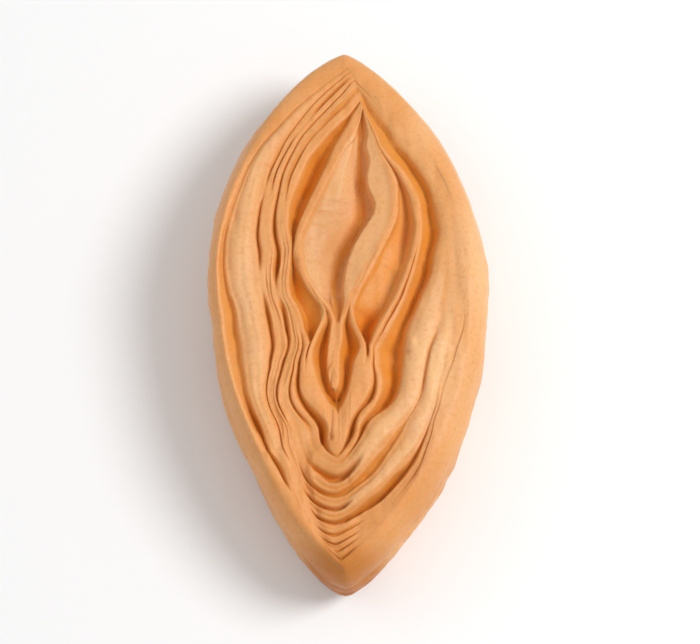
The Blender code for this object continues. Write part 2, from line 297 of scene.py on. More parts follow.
BULGES = (
    Bulge(8, RIGHT, -32, 0, 0.5),
    Bulge(6, RIGHT, -38, -3, 0.45),
    Bulge(2, LEFT, -37, 40, 0.7),
    Bulge(11, BOTH, -29, -8, 0.15),
)
BULGE_SHARE = 0.18  # a band bulges by at most this part of its width

# Spots: place, reach across and along, and size. Of marks it is their height (pits are negative), and
# of patches how much paler or darker they make the crust.
Spot = namedtuple("Spot", "x y reach_x reach_y size")
MARKS = (
    Spot(-2.6, -24, 0.35, 0.5, -0.6),
    Spot(-12.6, -26.8, 0.6, 0.9, 0.7),
    Spot(-3.4, 15.6, 3, 0.35, -0.2),  # wrinkles of the sheet in the eye
    Spot(-3.7, 13.8, 2.6, 0.35, -0.15),
    Spot(-2.2, 17.6, 1.6, 0.4, -0.2),
    Spot(10.6, -7.6, 0.7, 0.9, 0.6),
    Spot(9.6, -9.4, 0.6, 0.7, -0.7),
    Spot(8.9, 6, 0.8, 1, 0.4),
    Spot(-9, 6.5, 0.6, 0.9, -0.6),
    Spot(-19, 14, 0.7, 1.6, -0.4),
)

# Slits of the lower fan: between left and right, measured from the centre line, the gap is open.
# Above its top it is open as elsewhere.
Slit = namedtuple("Slit", "gap left right top")
SLITS = (
    Slit(1, -2, 4.6, -31),
    Slit(2, -2.8, 4.8, FAN_TOP),
    Slit(3, -3.4, 5, -26),
    Slit(4, -3.8, 5.4, FAN_TOP),
    Slit(5, -4.8, BEYOND, FAN_TOP),
    Slit(6, -6, 3.4, FAN_TOP),
    Slit(7, -7.2, BEYOND, FAN_TOP),
    Slit(8, -6.4, 5.2, FAN_TOP),
)

# Layers that lean and show a broad face on one flank of a fold: how far below the fold's edge the
# face begins, and its slope.
Sheet = namedtuple("Sheet", "fold side inner_flank low high step slope")
SHEETS = (
    Sheet(13, LEFT, True, -4, 40, 0.25, 0.22),
    Sheet(12, RIGHT, False, -5, 40, 0.6, 0.55),
    Sheet(12, RIGHT, False, 8, 40, 0.6, 1.3),
    Sheet(12, LEFT, False, 8, 40, 0.4, 1.6),
    Sheet(12, LEFT, False, -9, 8, 0.3, 0.9),
    Sheet(10, RIGHT, False, -20, 40, 0, 1.6),
    Sheet(10, RIGHT, False, 21, 50, 0, 0.5),
    Sheet(7, RIGHT, True, -42, -14, 0, 2.2),
    Sheet(8, RIGHT, False, -42, -14, 0, 2.2),
    Sheet(1, LEFT, True, -22, 44, 0, 1),
    Sheet(2, LEFT, False, -22, 44, 0, 1.6),
)

# Edges that are thicker: half their thickness.
Edge = namedtuple("Edge", "fold side low high half")
EDGES = (
    Edge(13, LEFT, -4, 40, 0.7),
    Edge(13, RIGHT, -4, 40, 0.65),
    Edge(12, BOTH, -24, 40, 0.7),
    Edge(11, BOTH, -10, 40, 0.8),
    Edge(9, RIGHT, -12, 40, 1.4),
    Edge(2, LEFT, -34, 36, 0.9),
    Edge(3, LEFT, -34, 36, 0.8),
    Edge(5, RIGHT, -44, -18, 0.5),
    Edge(6, RIGHT, -43, -18, 0.7),
    Edge(7, RIGHT, -40, -16, 0.6),
    Edge(8, RIGHT, -40, -16, 0.6),
)

# Folds whose edges lie lower than their neighbours.
Sunk = namedtuple("Sunk", "folds side low high depth")
SUNK = (
    Sunk((13,), BOTH, -24, -4, 0.4),
    Sunk((12,), RIGHT, -6, 34, 0.5),
    Sunk((10,), RIGHT, -14, 14, 0.7),
    Sunk((4, 5, 6, 7), LEFT, -24, 34, 0.3),
    Sunk((9, 10), LEFT, -10, 36, 0.4),
)

# Broad faces that stayed paler than the rest.
Tint = namedtuple("Tint", "gap side low high paleness")
TINTS = (
    Tint(13, LEFT, -4, 40, 0.9),
    Tint(13, RIGHT, -4, 40, 0.65),
    Tint(12, RIGHT, -2, 30, 0.3),
    Tint(11, RIGHT, -6, 28, 0.2),
    Tint(8, RIGHT, -34, 8, 0.8),
    Tint(6, RIGHT, -40, 8, 0.8),
    Tint(2, LEFT, -36, 38, 0.7),
)
TINT_WIDTH = 2.5  # narrower faces aren't paler
TINT_EDGE = (0.2, 0.35, 0.25)  # fades out near the outer and inner fold and the eye's fold line, in shares
TINT_DEPTH = 0.3  # outside the eye it fades out below this depth
SEAM_PALENESS = 0.5

FADE = 6.0  # sheets, edges, sunk folds and tints fade out over this distance at their ends

# Long creases along the wrap, some of them the edge of a sheet: from where to where, the height at
# both ends, how deep the crease is and how far the wrap steps back below it.
Crease = namedtuple("Crease", "side low high start end depth step")
CREASES = (
    Crease(RIGHT, -43, 32, 12.4, 17.4, 0.4, 0.8),
    Crease(RIGHT, -42, -6, 10.4, 13.4, 0.3, 0.2),
    Crease(RIGHT, 2, 45, 8, 11.5, 0.25, 0.3),
    Crease(RIGHT, -20, 24, 4.6, 6, 0.18, 0.1),
    Crease(LEFT, -43, 34, 11, 17, 0.4, 0.9),
    Crease(LEFT, -42, 2, 8.6, 11, 0.3, 0.2),
    Crease(LEFT, -8, 45, 13, 8.5, 0.25, 0.15),
    Crease(LEFT, 4, 40, 4.4, 5.4, 0.18, 0.1),
)

# Patches painted paler: painted highlights on the bright bands along the rim.
PAINTED_HIGHLIGHT_PATCHES = (
    Spot(21.5, 8, 4.5, 15, 0.85),
    Spot(15, -12, 6, 12, 0.8),
    Spot(-17, 2, 4, 22, 0.5),
    Spot(13, 32, 3, 8, 0.5),
)
# Darker patches, one of them painted shade over the broad sheet in the eye.
TOASTED_AND_SHADED_PATCHES = (
    # painted shade over the eye's broad sheet
    Spot(-2.5, 13, 4.5, 11, 0.33),
    Spot(-1, -36, 6, 8, 0.2),
    Spot(1, 43, 9, 5, 0.2),
    Spot(16, 33, 5, 7, 0.08),
    Spot(14, -32, 6, 8, 0.15),
)
TIP_TOAST_AND_SHADE = (0.85, -39.0, 7.0)  # darker at the lower tip, fried more there and painted shade where it droops and faces down: how much, from here down, over this length
DARKER_NEAR_FLOOR = (0.42, 0.6)  # darker towards the floor: this much at the floor, fading out at this share of the thickness
TOAST_WAVE = Wave(18.0, 0.12, seed=71)
TOAST_BANDS = Wave(5.0, 0.1, seed=73)  # bands along the wrap
BAND_SHAPE = (0.1, 0.1, 1)  # they are ten times longer than high
UPPER_FACE = (0.4, 0.2)  # bands end and patches begin from this share of the thickness, over this one

# Colours of the crust, as linear red, green, blue and opacity
FULL_DEPTH = 6.0  # grooves deeper than this (millimetres) all have the last colour
DEPTH_COLOURS = (  # at shares of that depth
    (0.00, (0.77, 0.36, 0.135, 1.0)),
    (0.07, (0.72, 0.29, 0.070, 1.0)),
    (0.20, (0.74, 0.275, 0.034, 1.0)),
    (0.60, (0.84, 0.275, 0.015, 1.0)),
    (1.00, (0.83, 0.255, 0.010, 1.0)),
)
MOTTLE_COLOUR = (0.74, 0.31, 0.085, 1.0)
PALE_COLOURS = ((0.80, 0.46, 0.26, 1.0), (0.84, 0.50, 0.21, 1.0))
# colour both of crust fried more and of painted shade
TOAST_AND_SHADE_COLOUR = (0.45, 0.13, 0.006, 1.0)
SPECK_COLOUR = (0.60, 0.22, 0.045, 1.0)

# Patterns of the crust: waves to a metre, and what noise values from here to there become
MOTTLE_SCALE, MOTTLE_RANGE = 260.0, (0.35, 0.7, 0.0, 0.6)
SPECK_SCALE, SPECK_RANGE = 1400.0, (0.5, 0.75, 0.0, 0.32)
GLOSS_SCALE, GLOSS_RANGE = 420.0, (0.3, 0.7, 0.34, 0.52)
PALE_SCALE = 150.0
PORE_SCALE = 900.0
PORE_BUMP = {"Strength": 0.3, "Distance": 0.0002}
CRUST = {
    "Specular IOR Level": 0.14,
    "Coat Weight": 0.06,
    "Coat Roughness": 0.4,
    "Subsurface Weight": 0.35,
    "Subsurface Radius": (1.0, 0.4, 0.15),
    "Subsurface Scale": 0.0012,
}
FLOOR = {"Base Color": (0.93, 0.93, 0.93, 1.0), "Roughness": 0.7, "Specular IOR Level": 0.2}

# Studio, in metres and watts
FLOOR_HALF = 3.0
SKY = {"Color": (1.0, 1.0, 1.0, 1.0), "Strength": 0.56}
Lamp = namedtuple("Lamp", "name place size power")
LAMPS = (
    Lamp("key", (0.38, 0.02, 0.48), 0.26, 2.4),
    Lamp("fill", (-0.45, 0.10, 0.40), 0.50, 0.35),
)
MIDDLE_HEIGHT = 0.5 * THICKNESS * MM

# Camera
ELEVATION = 72.0  # degrees
DISTANCE = 0.335
TARGET = (0.0005, -0.001, MIDDLE_HEIGHT)
LENS = 100.0  # millimetres


def smooth_step(t):
    """0 below 0, 1 above 1, with no corner at either."""
    t = np.clip(t, 0.0, 1.0)
    return t * t * (3.0 - 2.0 * t)


def blended(first, second, share):
    """The first value where the share is 0, the second where it is 1."""
    return first + (second - first) * share


def hump(part):
    """0 at 0 and at 1, and 1 half way between."""
    return 4.0 * part * (1.0 - part)


def bell(away, reach):
    """1 where something is 0 away, and almost 0 at twice its reach."""
    return np.exp(-((away / reach) ** 2))


def crowded_parts(count, crowding):
    """The ends of so many parts of the way from 0 to 1, which get shorter towards both."""
    even = np.linspace(0.0, 1.0, count + 1)
    return (1.0 - crowding) * even + crowding * (0.5 - 0.5 * np.cos(np.pi * even))


def between(place, low, high, fade):
    """1 between low and high, fading out towards them."""
    return smooth_step((place - low) / fade) * smooth_step((high - place) / fade)


def waves(place, wave, number=0):
    """Smooth noise between about a wave's size and minus that. Each number gives another one."""
    draw = np.random.default_rng(wave.seed + number)
    total = np.zeros(len(place))
    for _ in range(wave.count):
        direction = draw.normal(size=place.shape[1])
        direction /= np.linalg.norm(direction)
        turns = 2.0 * math.pi / (wave.length * draw.uniform(*PLAIN_LENGTHS))
        total += np.sin(turns * place @ direction + draw.uniform(0.0, 2.0 * math.pi))
    return wave.size * total * math.sqrt(2.0 / wave.count) * PLAIN_SIZE


def uneven_strength(curve, wave, number, least=0.0):
    """Uneven strength of a line along its length."""
    return np.clip(LINE_STRENGTH + waves(curve, wave, number), least, 1.0)


def towards_lower_tip(y, change):
    """A change by some size that begins at a place and is complete some way below it."""
    size, start, reach = change
    return size * smooth_step((start - y) / reach)


def rim_half_width(y):
    """Half the width of the cut face at a place along the long axis."""
    tip = LENGTH / 2.0 - SIDE_BULGE
    reach = np.where(y > WIDEST_AT, tip - WIDEST_AT, tip + WIDEST_AT)
    along = np.clip(np.abs(y - WIDEST_AT) / reach, 0.0, 1.0)
    return (WIDTH / 2.0 - SIDE_BULGE) * (1.0 - along**2) ** LEAF_POWER


def rim_axis(y):
    """Centre line of the outline, which leans a little from tip to tip."""
    return blended(*RIM_AXIS, smooth_step(0.5 + y / LENGTH)) + towards_lower_tip(y, TIP_LEAN)


def fold_axis(fold, y):
    """Centre line of one fold. The outer folds follow the rim's tips, the inner ones the eye."""
    start, end = AXIS_BEND
    inner = blended(LOWER_AXIS, UPPER_AXIS, smooth_step((y - start) / (end - start)))
    follow_below = 1.0 - np.exp(-fold / RIM_FOLLOWERS)
    follow_above = min(fold / LAST_FOLD, 1.0)
    follow = blended(follow_below, follow_above, smooth_step(0.5 + y / LENGTH))
    return blended(rim_axis(y), inner, follow)


def right_of_axis(curve):
    """How far right of the inner folds' centre line points lie."""
    return curve[:, 0] - fold_axis(LAST_FOLD, curve[:, 1])


def fold_ends():
    """Where each fold turns, at the lower and at the upper tip. The last pair is the eye's seam."""
    tip = LENGTH / 2.0 - SIDE_BULGE
    lower = [-tip, *LOWER_TURNS, FIN_END, FIN_END + EYE_SEAM_INSET]
    upper = [tip, tip - UPPER_RIM_BAND]
    groove_fold, groove = UPPER_GROOVE
    for fold in range(1, LAST_FOLD):
        pitch = groove if fold == groove_fold else UPPER_PITCH[fold > groove_fold]
        upper.append(upper[-1] - pitch)
    upper.append(upper[-1] - EYE_SEAM_INSET)
    return lower, upper


def pocket_shape(y, pocket):
    """How far a pocket is open at a place along the long axis."""
    reach = np.where(y > pocket.peak, pocket.high - pocket.peak, pocket.peak - pocket.low)
    along = np.clip(np.abs(y - pocket.peak) / reach, 0.0, 1.0)
    return pocket.width * (1.0 - along**2) ** POCKET_POWER


def inward_share(fold, side, y):
    """The part of the way from the centre line to the rim at which a fold lies."""
    across = rim_half_width(y) + SIGN[side] * (rim_axis(y) - fold_axis(LAST_FOLD, y))
    across = np.maximum(across, LEAST_HALF_WIDTH)
    opened = np.zeros((LAST_FOLD + 1, len(y)))
    opened[0] = RIM_BAND[side] * smooth_step(rim_half_width(y) / RIM_BAND_FROM)
    if side == LEFT:
        opened[0] += towards_lower_tip(y, LOWER_LEFT_RIM)
    for pocket in POCKETS:
        if pocket.side in (side, BOTH):
            opened[pocket.gap] += pocket_shape(y, pocket)
    spare = np.maximum(across - opened.sum(axis=0), LEAST_SPARE * across)
    share = np.ones((LAST_FOLD + 1, len(y)))
    for gap in range(1, LAST_FOLD):
        share[gap] += waves(y[:, None], SHARE_WAVES[side], gap)
    share = np.maximum(share, LEAST_SHARE)
    share[0] = RIM_SHARE
    share[LAST_FOLD] = EYE_SHARE
    width = opened + share / share.sum(axis=0) * spare
    return width[fold:].sum(axis=0) / width.sum(axis=0)


def turn_opening(fold, side, y, lower, upper):
    """0 at a fold's turns and 1 away from them."""
    first, last = INNER_TURNS
    inner = smooth_step((fold - first) / (last - first))
    radius = blended(LOWER_TURN_RADIUS[side], INNER_TURN_RADIUS, inner)
    power = blended(*LOWER_TURN_POWER, inner)
    if fold == LAST_FOLD:
        radius, power = FIN_TURN
    from_lower = np.maximum(y - lower[fold], 0.0)
    from_upper = np.maximum(upper[fold] - y, 0.0)
    opening = (1.0 - np.exp(-from_lower / radius)) ** power
    upper_radius, upper_power = UPPER_TURN
    return opening * (1.0 - np.exp(-from_upper / upper_radius)) ** upper_power


def fold_side(fold, side, lower, upper):
    """Points of one side of a fold, from its lower turn to its upper one."""
    part = crowded_parts(SIDE_POINTS, POINT_CROWDING)
    y = blended(lower[fold], upper[fold], part)
    sign = SIGN[side]
    if fold == 0:
        return np.column_stack((rim_axis(y) + sign * rim_half_width(y), y))
    axis = fold_axis(fold, y)
    if fold > LAST_FOLD:
        shift, shift_at, reach = SEAM_SHIFT
        return np.column_stack((axis + shift * bell(y - shift_at, reach), y))
    to_rim = rim_half_width(y) + sign * (rim_axis(y) - axis)
    opening = turn_opening(fold, side, y, lower, upper)
    return np.column_stack((axis + sign * opening * inward_share(fold, side, y) * to_rim, y))


def fold_curves():
    """All folds as closed loops of equally many points, from the rim to the eye's seam."""
    lower, upper = fold_ends()
    curves = []
    for fold in range(LAST_FOLD + 2):
        right = fold_side(fold, RIGHT, lower, upper)
        left = fold_side(fold, LEFT, lower, upper)
        curves.append(np.vstack((right, left[-2:0:-1])))
    return curves


def outward(curve):
    """Directions away from the middle, square to a fold."""
    along = np.roll(curve, -1, axis=0) - np.roll(curve, 1, axis=0)
    along /= np.maximum(np.linalg.norm(along, axis=1, keepdims=True), TINY)
    return np.column_stack((along[:, 1], -along[:, 0]))


def softened(values, reach=SOFT):
    """Values round a closed loop, averaged over some neighbours."""
    total = np.zeros(len(values))
    for shift in range(-reach, reach + 1):
        total += np.roll(values, shift)
    return total / (2 * reach + 1)


def gap_width(outer, inner):
    """Distance from each point of a fold to the next fold inwards, square to the fold."""
    straight = np.abs(((inner - outer) * outward(outer)).sum(axis=1))
    return softened(np.maximum(straight, LEAST_GAP))


def distance_to(curve, place):
    """Distance from each place to the nearest part of a fold."""
    nearest = ((place[:, None] - curve) ** 2).sum(axis=2).argmin(axis=1)
    away = place - curve[nearest]
    normal = outward(curve)[nearest]
    square = np.abs((away * normal).sum(axis=1))
    along = np.abs(away[:, 0] * normal[:, 1] - away[:, 1] * normal[:, 0])
    return np.hypot(square, np.maximum(along - POINT_SPACING, 0.0))


def on_side(curve, side):
    """1 for the points of a fold that lie on the given side or sides."""
    side_of_point = np.where(np.arange(len(curve)) <= SIDE_POINTS, RIGHT, LEFT)
    return np.isin(side_of_point, side).astype(float)


def stretch(curve, entry, fade=FADE):
    """1 along the part of a fold that an entry of a table names, fading out at its ends."""
    return between(curve[:, 1], entry.low, entry.high, fade) * on_side(curve, entry.side)


def in_fan(curve):
    """1 in the fan of arcs at the lower tip, 0 above it."""
    return smooth_step((FAN_TOP - curve[:, 1]) / FAN_FADE)


def stuck_together(gap, curve):
    """1 where the layers on both sides of a gap are stuck together, 0 where they stand apart."""
    stuck = np.zeros(len(curve))
    for weld in WELDS:
        if gap in weld.gaps:
            stuck = np.maximum(stuck, stretch(curve, weld, WELD_FADE))
    for slit in SLITS:
        if slit.gap == gap:
            closed = 1.0 - between(right_of_axis(curve), slit.left, slit.right, FAN_FADE)
            stuck = np.maximum(stuck, closed * smooth_step((slit.top - curve[:, 1]) / FAN_FADE))
    return softened(stuck)


def joined_surface(gap, part, curve, width):
    """Depth of the surface where layers are stuck together: a faint line, and a bulge upwards."""
    line, bulge = np.zeros((2, len(curve)))
    strength = uneven_strength(curve, LINE_CHANGES, gap, LEAST_LINE)
    for entry in LINES:
        if gap in entry.gaps:
            line = np.maximum(line, entry.depth * strength * stretch(curve, entry, WELD_FADE))
    for entry in BULGES:
        if entry.gap == gap:
            bulge = np.maximum(bulge, entry.height * stretch(curve, entry, WELD_FADE))
    bulge = np.minimum(softened(bulge, SOFT_BAND), BULGE_SHARE * width)
    return softened(line) * bell((part - 0.5) * width, LINE_HALF) - bulge * hump(part)


def flank(fold, inner_flank, curve):
    """Where the face on one flank of a fold begins below its edge, and how steeply it falls away."""
    slope = blended(WALL_SLOPE, FAN_WALL_SLOPE, in_fan(curve))
    step = np.zeros(len(curve))
    for sheet in SHEETS:
        if sheet.fold == fold and sheet.inner_flank == inner_flank:
            here = stretch(curve, sheet)
            slope = blended(slope, sheet.slope, here)
            step = blended(step, sheet.step, here)
    return softened(slope, SOFT_EDGE), softened(step, SOFT_EDGE)


def free_level(fold, curve):
    """Height of a fold's edge by itself: almost one plane for all, lower at the tips."""
    y = curve[:, 1]
    part = np.abs(y) / (LENGTH / 2.0)
    droop = np.where(y < 0.0, *TIP_DROOP) * part**3
    crest, along, from_fold_to_fold = CREST_WAVE
    wave = crest * np.sin(along * y + from_fold_to_fold * fold) * (1.0 - part)
    level = THICKNESS - crest - droop + wave
    if fold == 0:
        return level
    sink = LEVEL_SINK + sum(waves(curve, wave, fold) for wave in LEVEL_WAVES)
    level -= sink * (1.0 - part**2)
    for sunk in SUNK:
        if fold in sunk.folds:
            level -= sunk.depth * softened(stretch(curve, sunk), SOFT_EDGE)
    return level


def rim_drop(rim):
    """How far the rim is rounded down at each of its points."""
    return softened(blended(*RIM_DROP, on_side(rim, LEFT)), SOFT_RIM)


def edge_levels(curves):
    """Heights of all edges. Layers that are stuck together are drawn to one height."""
    levels = np.array([free_level(min(fold, LAST_FOLD), curve) for fold, curve in enumerate(curves)])
    stuck = np.array([stuck_together(gap, curves[gap]) for gap in range(LAST_FOLD + 1)])
    stuck[LAST_FOLD] = 0.0
    rounds, part_of_the_way = LEVELLING
    for _ in range(rounds):
        pull = part_of_the_way * stuck * np.diff(levels, axis=0)
        levels[1:-1] += pull[1:] - pull[:-1]
    # The fold line lies below the middle between both sides of the last fold.
    levels[-1] = 0.5 * (levels[-2] + np.roll(levels[-2][::-1], 1))
    return levels


def edge_half(fold, curve):
    """Half the thickness of a fold's edge."""
    half = np.full(len(curve), EDGE_HALF)
    fan_folds, fan_half = FAN_EDGES
    if fold in fan_folds:
        half = blended(half, fan_half, in_fan(curve))
    for edge in EDGES:
        if edge.fold == fold:
            half = blended(half, edge.half, stretch(curve, edge))
    return softened(half, SOFT_EDGE) * (1.0 + waves(curve, EDGE_NOISE, fold))


def fan_line(fold, curve, distance):
    """A thin line along the crest of an arc, where two layers lie close together."""
    if fold not in LINED_FOLDS:
        return np.zeros(len(curve))
    depth, half, reach, fade = FAN_LINE
    shown = in_fan(curve) * between(right_of_axis(curve), -reach, reach, fade)
    strength = uneven_strength(curve, FAN_LINE_CHANGES, fold)
    return depth * shown * strength * bell(distance, half)


def fall_from_edge(fold, inner_flank, curve, distance, width):
    """How far the surface lies below a fold's edge at a distance from it."""
    half = np.minimum(edge_half(fold, curve), EDGE_SHARE * width)
    round_part = 1.0 - np.sqrt(1.0 - np.clip(distance / half, 0.0, 1.0) ** 2)
    roundness = blended(EDGE_ROUNDNESS, FAN_EDGE_ROUNDNESS, in_fan(curve))
    slope, step = flank(fold, inner_flank, curve)
    beyond = np.maximum(distance - half, 0.0)
    step_reach = STEP_SLOPE * np.maximum(step, LEAST_STEP) / WALL_SLOPE
    wall = step * smooth_step(beyond / step_reach) + slope * beyond
    return roundness * half * round_part + wall + fan_line(fold, curve, distance)


def eye_opening(y):
    """0 at the ends of the eye and 1 where it is widest."""
    return pocket_shape(y, EYE) / EYE.width


def eye_depth(y):
    """Depth of the fold line along the middle of the eye and of the fin below it."""
    depth, power = EYE_DEPTH
    return FIN_SEAM_DEPTH + depth * eye_opening(y) ** power


def free_edges(y, width):
    """Distance of the petal's and the sheet's free edge from the fold line in the eye."""
    petal_edge, petal_most = PETAL_EDGE
    notch, notch_at, reach = PETAL_NOTCH
    petal = petal_edge + waves(y[:, None], PETAL_SCALLOP) + notch * bell(y - notch_at, reach)
    sheet_edge, sheet_most = SHEET_EDGE
    return np.minimum(petal, petal_most * width), np.minimum(sheet_edge, sheet_most * width)


def drop_in_eye(part, outer, inner):
    """How far the surface inside the last fold lies below its edge."""
    width = gap_width(outer, inner)
    left = on_side(outer, LEFT)
    step, step_reach = PETAL_STEP
    petal = step * smooth_step(part * width / step_reach) + PETAL_SLOPE * part * width
    valley, valley_from = SHEET_VALLEY
    sheet = fall_from_edge(LAST_FOLD, True, outer, part * width, width)
    sheet += valley * smooth_step((part - valley_from) / (1.0 - valley_from))
    drop = blended(petal, sheet, left) * smooth_step(eye_opening(outer[:, 1]) / FLAT_END)
    edge = blended(*free_edges(outer[:, 1], width), left)
    fall = np.minimum(blended(PETAL_FALL, SHEET_FALL, left), STEEPEST_FALL * edge)
    from_seam = (1.0 - part) * width
    return blended(drop, eye_depth(inner[:, 1]), smooth_step((edge - from_seam) / fall + 0.5))


def drop_across(gap, part, outer, inner):
    """How far the surface lies below the folds' edges at one place across a gap."""
    if gap == LAST_FOLD:
        return drop_in_eye(part, outer, inner)
    width = gap_width(outer, inner)
    from_outer, from_inner = part * width, (1.0 - part) * width
    deepest = DEEPEST
    if gap == DIAMOND_GAP:
        place = blended(outer, inner, part)
        from_outer, from_inner = distance_to(outer, place), distance_to(inner, place)
        width = np.maximum(from_outer + from_inner, LEAST_GAP)
        deepest = DIAMOND_DEEPEST
    falls = (
        fall_from_edge(gap, True, outer, from_outer, width),
        fall_from_edge(gap + 1, False, inner, from_inner, width),
    )
    near, far = np.minimum(*falls), np.maximum(*falls)
    raised, share_of_depth, reach = GROOVE_BOTTOM
    rounded = near - np.minimum(raised, share_of_depth * near) * np.exp(-(far - near) / reach)
    middle = 0.5 * (outer + inner)
    if gap < FIRST_EYE_GAP:
        deepest = blended(deepest, FAN_DEEPEST, in_fan(middle))
    drop = deepest * (1.0 - np.exp(-rounded / deepest))
    return blended(drop, joined_surface(gap, part, middle, width), stuck_together(gap, middle))


def paleness_across(gap, part, outer, inner):
    """How pale the surface is at one place across a gap."""
    pale = np.zeros(len(outer))
    for tint in TINTS:
        if tint.gap == gap:
            pale = np.maximum(pale, tint.paleness * stretch(outer, tint))
    near_outer, near_inner, near_seam = TINT_EDGE
    near_end = near_seam if gap == LAST_FOLD else near_inner
    away_from_edges = smooth_step(part / near_outer) * smooth_step((1.0 - part) / near_end)
    return softened(pale, SOFT_BAND) * away_from_edges * smooth_step(gap_width(outer, inner) / TINT_WIDTH)


def spot_at(place, spot):
    """A spot's size in its middle, fading out over its reach."""
    return spot.size * bell(place[:, 0] - spot.x, spot.reach_x) * bell(place[:, 1] - spot.y, spot.reach_y)


def in_patches(place, patches):
    """How strongly patches show at each place."""
    return np.max([spot_at(place, patch) for patch in patches], axis=0)


def marks_at(place):
    """Height of the small nubs and pits."""
    return sum(spot_at(place, mark) for mark in MARKS)


def unevenly_placed(place, drop, calm):
    """Folds wander sideways, and lean so that deeper places lie a little to one side."""
    moved = place.copy()
    for wave in WARP:
        for axis in (0, 1):
            moved[:, axis] += (1.0 - calm) * waves(place, wave, axis)
    moved[:, 0] += (1.0 - calm) * np.minimum(drop, LEAN_DEPTH) * waves(place, LEAN)
    return moved


def face_spots(kind):
    """Places of blisters, scattered over the cut face."""
    spread = np.random.default_rng(kind.place_seed).uniform(-0.5, 0.5, (kind.count, 2))
    return spread * (WIDTH, LENGTH)


def wrap_spots(rim, kind):
    """Places of blisters, scattered over the wrap."""
    draw = np.random.default_rng(kind.place_seed)
    around = rim[draw.integers(0, len(rim), kind.count)]
    return np.column_stack((around, draw.uniform(*BLISTER_BAND, kind.count) * THICKNESS))


def blisters(points, spots, kind):
    """Height of the low round bubbles of the crust."""
    draw = np.random.default_rng(kind.size_seed)
    total = np.zeros(len(points))
    for centre in spots:
        radius = draw.uniform(*kind.radii)
        rise = kind.height * draw.uniform(*BLISTER_RISE)
        away = ((points - centre) ** 2).sum(axis=1) / radius**2
        near = away < 1.0
        total[near] = np.maximum(total[near], rise * (1.0 - away[near]) ** BLISTER_POWER)
    return total


def toast_and_shade_at(place, height):
    """How much darker the crust is: fried more and painted shade at the drooping lower tip, darker low on
    the wrap, in bands, and in patches, one of them painted shade in the eye.
    """
    solid = np.column_stack((place, height))
    part_up = height / THICKNESS
    most, end = DARKER_NEAR_FLOOR
    low = most * smooth_step((end - part_up) / end)
    face_from, face_fade = UPPER_FACE
    upper = smooth_step((part_up - face_from) / face_fade)
    bands = waves(solid * BAND_SHAPE, TOAST_BANDS)
    toast_and_shade = towards_lower_tip(place[:, 1], TIP_TOAST_AND_SHADE) + low + waves(solid, TOAST_WAVE)
    toast_and_shade += bands * (1.0 - upper) + in_patches(place, TOASTED_AND_SHADED_PATCHES) * upper
    return np.clip(toast_and_shade, 0.0, 1.0)


# A loop of points round the piece, with the depth and paleness that colour it.
Row = namedtuple("Row", "place height depth paleness")


def upper_row(gap, part, curves, levels, spots):
    """One row over the upper face."""
    outer, inner = curves[gap], curves[gap + 1]
    place = blended(outer, inner, part)
    if gap == 0:
        drop = rim_drop(outer) * (1.0 - part) ** RIM_POWER
        depth = np.zeros(len(outer))
    else:
        drop = depth = drop_across(gap, part, outer, inner)
    place = unevenly_placed(place, drop, 1.0 - smooth_step((gap + part) / CALM_GAPS))
    grain = waves(place * GRAIN_SHAPE, GRAIN)
    bumps = sum(waves(place, wave, UPPER_BUMPS) for wave in BUMPS)
    height = blended(levels[gap], levels[gap + 1], part) - drop + marks_at(place)
    height += (bumps + grain) * min(1.0, gap + part)
    pale = paleness_across(gap, part, outer, inner)
    if gap < FIRST_EYE_GAP:
        pale *= np.exp(-np.maximum(depth - TINT_DEPTH, 0.0))
    else:
        height += blisters(place, spots, POCKET_BLISTERS) * smooth_step(drop - BLISTER_FROM)
    # painted highlights from the patches, fading out in the grooves
    pale = np.maximum(pale, in_patches(place, PAINTED_HIGHLIGHT_PATCHES) * np.exp(-depth))
    return Row(place, height, depth, pale)


def upper_rows(curves, levels):
    """Rows over the upper face, from the rim inwards."""
    spots = face_spots(POCKET_BLISTERS)
    rows = []
    for gap in range(LAST_FOLD + 1):
        for part in crowded_parts(ROWS[gap], ROW_CROWDING[gap in WIDE_GAPS])[:-1]:
            rows.append(upper_row(gap, part, curves, levels, spots))
    return rows


def seam_row(curves, levels):
    """The fold line along the middle of the eye."""
    seam = curves[-1][: SIDE_POINTS + 1]
    drop = eye_depth(seam[:, 1])
    height = levels[-1][: SIDE_POINTS + 1] - drop
    return Row(unevenly_placed(seam, drop, 0.0), height, drop, np.full(len(seam), SEAM_PALENESS))


def creases_at(rim, height):
    """How far the wrap lies back at its creases and below them, and how strongly a crease's painted shade
    shows.
    """
    back, shown = np.zeros((2, len(rim)))
    for number, crease in enumerate(CREASES):
        part = np.clip((rim[:, 1] - crease.low) / (crease.high - crease.low), 0.0, 1.0)
        line = blended(crease.start, crease.end, part) + waves(rim, CREASE_WAVE, number)
        here = stretch(rim, crease, CREASE_FADE)
        below = line - height
        groove = here * bell(below, CREASE_HALF)
        step = here * smooth_step(below / CREASE_HALF) * np.exp(-np.maximum(below, 0.0) / STEP_REACH)
        back += crease.depth * groove + crease.step * step
        shown = np.maximum(shown, groove * crease.depth / CREASE_SHADE[0])
    return back, shown


